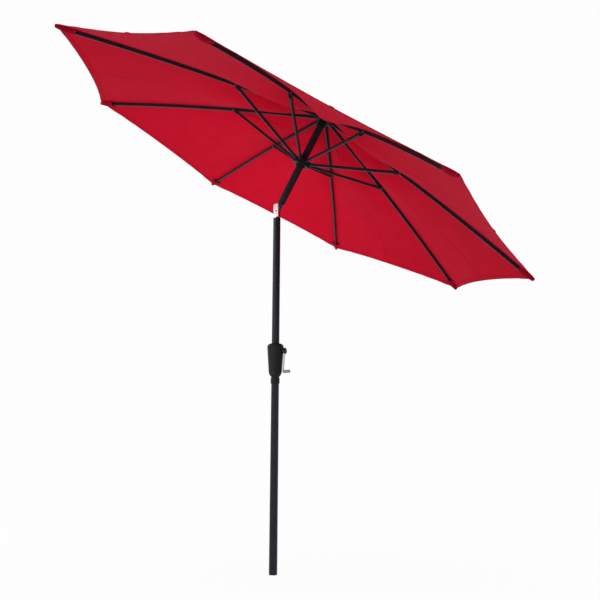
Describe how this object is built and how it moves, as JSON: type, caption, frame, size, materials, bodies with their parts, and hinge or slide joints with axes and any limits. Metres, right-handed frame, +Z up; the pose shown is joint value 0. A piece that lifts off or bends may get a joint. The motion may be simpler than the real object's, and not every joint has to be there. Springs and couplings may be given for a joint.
{
  "type": "patio umbrella",
  "caption": "Centre-pole patio umbrella with a scalloped fabric canopy on pivoting ribs and struts, a sliding runner, a crank unit, a tilting joint and a push button.",
  "frame": {"origin": "centre of the flat lower end of the mast", "axes": "+Z up along the mast, +X the way the head leans, which is also the crank side, +Y by the right-hand rule"},
  "size_m": [2.2906, 2.6072, 2.574],
  "materials": {
    "pole_finish": "satin graphite",
    "dark_metal": "satin black",
    "black_plastic": "fine matt",
    "bright_metal": "bright plated",
    "crank_metal": "satin",
    "grip": "matt grey",
    "steel": "plain",
    "cloth": "woven red"
  },
  "bodies": {
    "mast": {"lower_pole": "pole_finish", "foot_cap": "black_plastic", "coupling_spigot": "steel", "coupling_sleeve": "black_plastic", "mid_pole": "pole_finish", "crank_housing_front": "black_plastic", "crank_housing_rear": "black_plastic", "housing_screws": "steel", "knuckle_fork": "bright_metal", "tilt_pin": "steel"},
    "crank": {"crank_axle": "steel", "cord_drum": "black_plastic", "crank_hub": "black_plastic", "crank_arm": "crank_metal"},
    "knob": {"crank_knob": "grip"},
    "head": {"knuckle_blade": "dark_metal", "upper_pole": "pole_finish", "button_spring": "steel", "pulley_axle": "steel", "hub": "black_plastic", "hub_pins": "steel", "finial": "black_plastic", "canopy": "cloth"},
    "button": {"tilt_button": "black_plastic"},
    "pulley": {"pulley": "black_plastic"},
    "runner": {"runner": "black_plastic", "runner_pins": "steel"},
    "rib_arm_1": {"rib_1": "dark_metal", "rib_rivet_1": "steel", "rib_tip_1": "black_plastic"},
    "strut_arm_1": {"strut_1": "dark_metal"},
    "rib_arm_2": {"rib_2": "dark_metal", "rib_rivet_2": "steel", "rib_tip_2": "black_plastic"},
    "strut_arm_2": {"strut_2": "dark_metal"},
    "rib_arm_3": {"rib_3": "dark_metal", "rib_rivet_3": "steel", "rib_tip_3": "black_plastic"},
    "strut_arm_3": {"strut_3": "dark_metal"},
    "rib_arm_4": {"rib_4": "dark_metal", "rib_rivet_4": "steel", "rib_tip_4": "black_plastic"},
    "strut_arm_4": {"strut_4": "dark_metal"},
    "rib_arm_5": {"rib_5": "dark_metal", "rib_rivet_5": "steel", "rib_tip_5": "black_plastic"},
    "strut_arm_5": {"strut_5": "dark_metal"},
    "rib_arm_6": {"rib_6": "dark_metal", "rib_rivet_6": "steel", "rib_tip_6": "black_plastic"},
    "strut_arm_6": {"strut_6": "dark_metal"},
    "rib_arm_7": {"rib_7": "dark_metal", "rib_rivet_7": "steel", "rib_tip_7": "black_plastic"},
    "strut_arm_7": {"strut_7": "dark_metal"},
    "rib_arm_8": {"rib_8": "dark_metal", "rib_rivet_8": "steel", "rib_tip_8": "black_plastic"},
    "strut_arm_8": {"strut_8": "dark_metal"}
  },
  "joints": [
    {"name": "tilt", "type": "hinge", "parent": "mast", "child": "head", "pos_m": [0, 0, 1.782], "axis": [0, 1, 0], "range_deg": [-28.6, 0]},
    {"name": "runner_slide", "type": "slide", "parent": "head", "child": "runner", "axis": [-0.4787, 0, -0.878], "range_m": [0, 0.18]},
    {"name": "button_push", "type": "slide", "parent": "head", "child": "button", "axis": [0, -1, 0], "range_m": [0, 0.004], "stiffness_N_per_m": 600, "springref_m": -0.003, "deforming": ["button_spring"]},
    {"name": "crank_spin", "type": "hinge", "parent": "mast", "child": "crank", "pos_m": [0, 0, 1.027], "axis": [1, 0, 0], "range_deg": [0, 1150]},
    {"name": "knob_spin", "type": "hinge", "parent": "crank", "child": "knob", "pos_m": [0.06, 0, 0.92423], "axis": [1, 0, 0], "continuous": true},
    {"name": "pulley_spin", "type": "hinge", "parent": "head", "child": "pulley", "pos_m": [0.23983, 0, 2.22187], "axis": [0, 1, 0], "range_deg": [0, 1150]},
    {"name": "rib_hinge_1", "type": "hinge", "parent": "head", "child": "rib_arm_1", "pos_m": [0.29628, 0.00512, 2.25943], "axis": [-0.1404, 0.9871, 0.0765], "range_deg": [0, 11.9]},
    {"name": "strut_hinge_1", "type": "hinge", "parent": "runner", "child": "strut_arm_1", "pos_m": [0.17481, 0.00576, 2.02838], "axis": [0.1404, -0.9871, -0.0765], "range_deg": [0, 11.5]},
    {"name": "rib_hinge_2", "type": "hinge", "parent": "head", "child": "rib_arm_2", "pos_m": [0.28498, 0.02595, 2.26559], "axis": [-0.7121, 0.585, 0.3882], "range_deg": [0, 11.9]},
    {"name": "strut_hinge_2", "type": "hinge", "parent": "runner", "child": "strut_arm_2", "pos_m": [0.1621, 0.0292, 2.03531], "axis": [0.7121, -0.585, -0.3882], "range_deg": [0, 11.5]},
    {"name": "rib_hinge_3", "type": "hinge", "parent": "head", "child": "rib_arm_3", "pos_m": [0.26405, 0.03159, 2.277], "axis": [-0.8667, -0.1599, 0.4725], "range_deg": [0, 11.9]},
    {"name": "strut_hinge_3", "type": "hinge", "parent": "runner", "child": "strut_arm_3", "pos_m": [0.13855, 0.03554, 2.04815], "axis": [0.8667, 0.1599, -0.4725], "range_deg": [0, 11.5]},
    {"name": "rib_hinge_4", "type": "hinge", "parent": "head", "child": "rib_arm_4", "pos_m": [0.24576, 0.01872, 2.28697], "axis": [-0.5136, -0.8111, 0.28], "range_deg": [0, 11.9]},
    {"name": "strut_hinge_4", "type": "hinge", "parent": "runner", "child": "strut_arm_4", "pos_m": [0.11797, 0.02106, 2.05937], "axis": [0.5136, 0.8111, -0.28], "range_deg": [0, 11.5]},
    {"name": "rib_hinge_5", "type": "hinge", "parent": "head", "child": "rib_arm_5", "pos_m": [0.24081, -0.00512, 2.28967], "axis": [0.1404, -0.9871, -0.0765], "range_deg": [0, 11.9]},
    {"name": "strut_hinge_5", "type": "hinge", "parent": "runner", "child": "strut_arm_5", "pos_m": [0.11241, -0.00576, 2.06241], "axis": [-0.1404, 0.9871, 0.0765], "range_deg": [0, 11.5]},
    {"name": "rib_hinge_6", "type": "hinge", "parent": "head", "child": "rib_arm_6", "pos_m": [0.25211, -0.02595, 2.28351], "axis": [0.7121, -0.585, -0.3882], "range_deg": [0, 11.9]},
    {"name": "strut_hinge_6", "type": "hinge", "parent": "runner", "child": "strut_arm_6", "pos_m": [0.12512, -0.0292, 2.05547], "axis": [-0.7121, 0.585, 0.3882], "range_deg": [0, 11.5]},
    {"name": "rib_hinge_7", "type": "hinge", "parent": "head", "child": "rib_arm_7", "pos_m": [0.27304, -0.03159, 2.2721], "axis": [0.8667, 0.1599, -0.4725], "range_deg": [0, 11.9]},
    {"name": "strut_hinge_7", "type": "hinge", "parent": "runner", "child": "strut_arm_7", "pos_m": [0.14866, -0.03554, 2.04264], "axis": [-0.8667, -0.1599, 0.4725], "range_deg": [0, 11.5]},
    {"name": "rib_hinge_8", "type": "hinge", "parent": "head", "child": "rib_arm_8", "pos_m": [0.29133, -0.01872, 2.26212], "axis": [0.5136, 0.8111, -0.28], "range_deg": [0, 11.9]},
    {"name": "strut_hinge_8", "type": "hinge", "parent": "runner", "child": "strut_arm_8", "pos_m": [0.16924, -0.02106, 2.03142], "axis": [-0.5136, -0.8111, 0.28], "range_deg": [0, 11.5]}
  ],
  "couplings": [
    {"joint": "crank_spin", "follows": "runner_slide", "rad_per_m": 111.11},
    {"joint": "pulley_spin", "follows": "runner_slide", "rad_per_m": 111.11},
    {"joint": "rib_hinge_1", "follows": "runner_slide", "rad_per_m": 1.1074},
    {"joint": "strut_hinge_1", "follows": "runner_slide", "rad_per_m": 1.0651},
    {"joint": "rib_hinge_2", "follows": "runner_slide", "rad_per_m": 1.1074},
    {"joint": "strut_hinge_2", "follows": "runner_slide", "rad_per_m": 1.0651},
    {"joint": "rib_hinge_3", "follows": "runner_slide", "rad_per_m": 1.1074},
    {"joint": "strut_hinge_3", "follows": "runner_slide", "rad_per_m": 1.0651},
    {"joint": "rib_hinge_4", "follows": "runner_slide", "rad_per_m": 1.1074},
    {"joint": "strut_hinge_4", "follows": "runner_slide", "rad_per_m": 1.0651},
    {"joint": "rib_hinge_5", "follows": "runner_slide", "rad_per_m": 1.1074},
    {"joint": "strut_hinge_5", "follows": "runner_slide", "rad_per_m": 1.0651},
    {"joint": "rib_hinge_6", "follows": "runner_slide", "rad_per_m": 1.1074},
    {"joint": "strut_hinge_6", "follows": "runner_slide", "rad_per_m": 1.0651},
    {"joint": "rib_hinge_7", "follows": "runner_slide", "rad_per_m": 1.1074},
    {"joint": "strut_hinge_7", "follows": "runner_slide", "rad_per_m": 1.0651},
    {"joint": "rib_hinge_8", "follows": "runner_slide", "rad_per_m": 1.1074},
    {"joint": "strut_hinge_8", "follows": "runner_slide", "rad_per_m": 1.0651}
  ]
}
